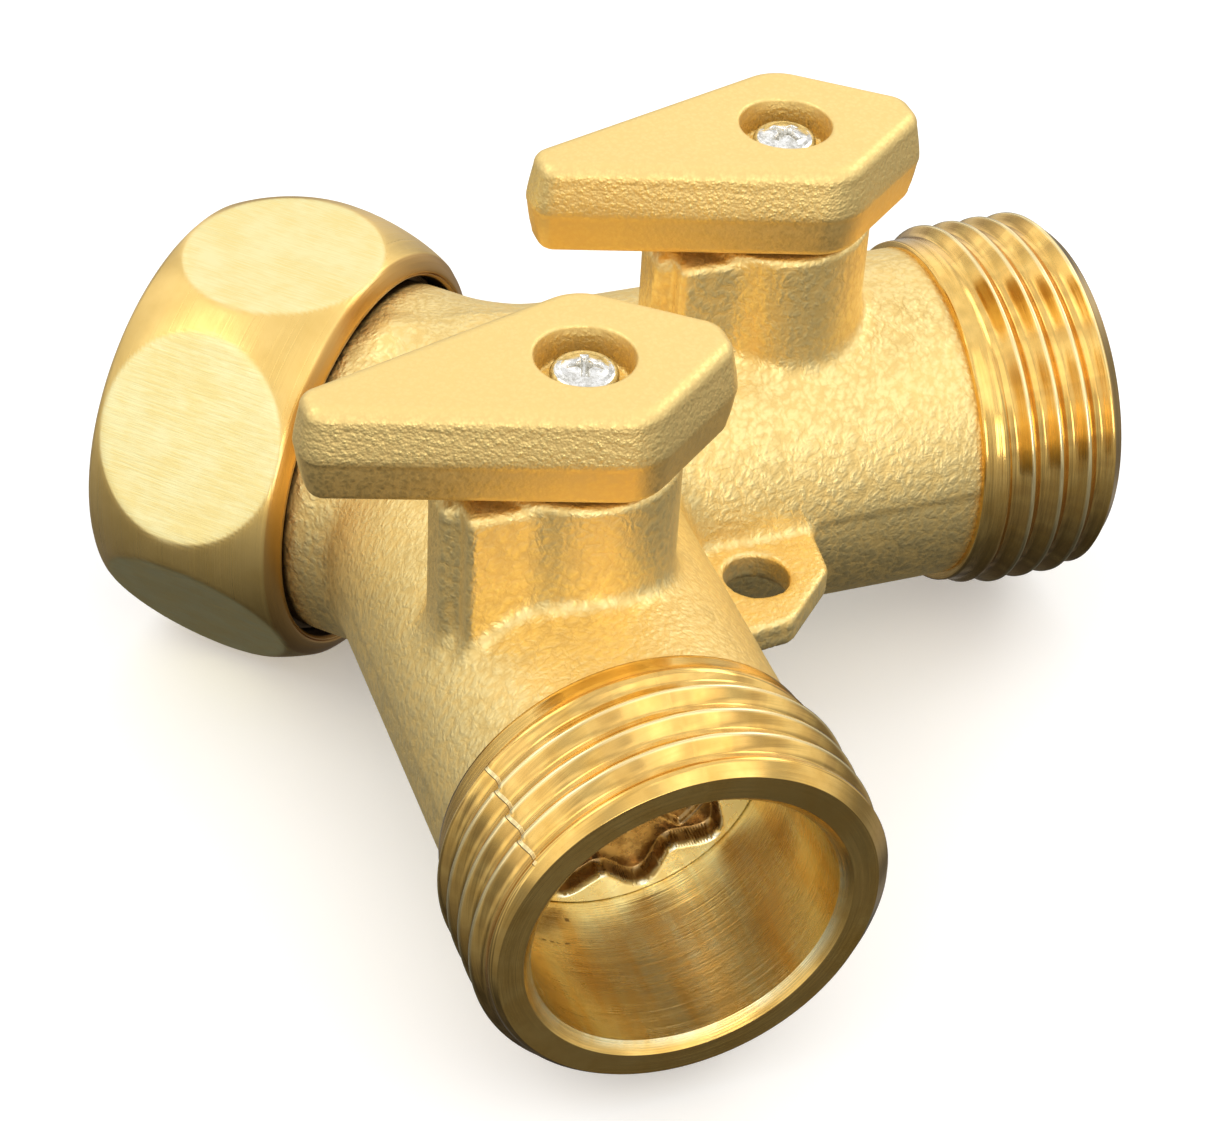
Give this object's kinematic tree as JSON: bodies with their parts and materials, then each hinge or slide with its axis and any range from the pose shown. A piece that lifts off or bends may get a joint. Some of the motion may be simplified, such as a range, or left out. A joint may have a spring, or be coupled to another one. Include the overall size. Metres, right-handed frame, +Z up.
{
  "type": "hose splitter",
  "caption": "Brass garden hose splitter with a swivel hex inlet nut and two threaded outlets, each with its own quarter-turn ball valve and lever handle.",
  "frame": {"origin": "middle of the underside: centre of the bounding box in X and Y, lowest point in Z", "axes": "+Z up along the valve stems, +X away from the inlet nut along its axis, +Y towards the far outlet; the two outlets point 45 degrees either side of +X"},
  "size_m": [0.0632, 0.0816, 0.0419],
  "materials": {
    "cast_brass": "sand-cast, tumbled, matte satin",
    "handle_brass": "forged, bead blasted",
    "nut_brass": "machined barrel, brushed flats",
    "machined_brass": "turned, bright",
    "chrome_steel": "bright plated",
    "spring_steel": "plain",
    "white_ptfe": "moulded, waxy",
    "black_rubber": "moulded"
  },
  "bodies": {
    "root": {"y_body": "cast_brass", "retaining_ring": "spring_steel", "near_inner_seat": "white_ptfe", "near_outer_seat": "white_ptfe", "near_seat_retainer": "machined_brass", "far_inner_seat": "white_ptfe", "far_outer_seat": "white_ptfe", "far_seat_retainer": "machined_brass"},
    "nut": {"swivel_nut": "nut_brass", "inlet_washer": "black_rubber"},
    "near_valve": {"near_handle": "handle_brass", "near_handle_screw": "chrome_steel", "near_stem": "machined_brass", "near_ball": "chrome_steel", "near_stem_o_ring_lower": "black_rubber", "near_stem_o_ring_upper": "black_rubber", "near_thrust_washer": "white_ptfe"},
    "far_valve": {"far_handle": "handle_brass", "far_handle_screw": "chrome_steel", "far_stem": "machined_brass", "far_ball": "chrome_steel", "far_stem_o_ring_lower": "black_rubber", "far_stem_o_ring_upper": "black_rubber", "far_thrust_washer": "white_ptfe"}
  },
  "joints": [
    {"name": "near_valve_turn", "type": "hinge", "parent": "root", "child": "near_valve", "pos_m": [0.00632, -0.0155, 0.03807], "axis": [0, 0, 1], "range_deg": [-90, 0]},
    {"name": "far_valve_turn", "type": "hinge", "parent": "root", "child": "far_valve", "pos_m": [0.00632, 0.0155, 0.03807], "axis": [0, 0, 1], "range_deg": [-90, 0]},
    {"name": "nut_spin", "type": "hinge", "parent": "root", "child": "nut", "pos_m": [-0.02403, 0, 0.01507], "axis": [1, 0, 0], "continuous": true}
  ]
}
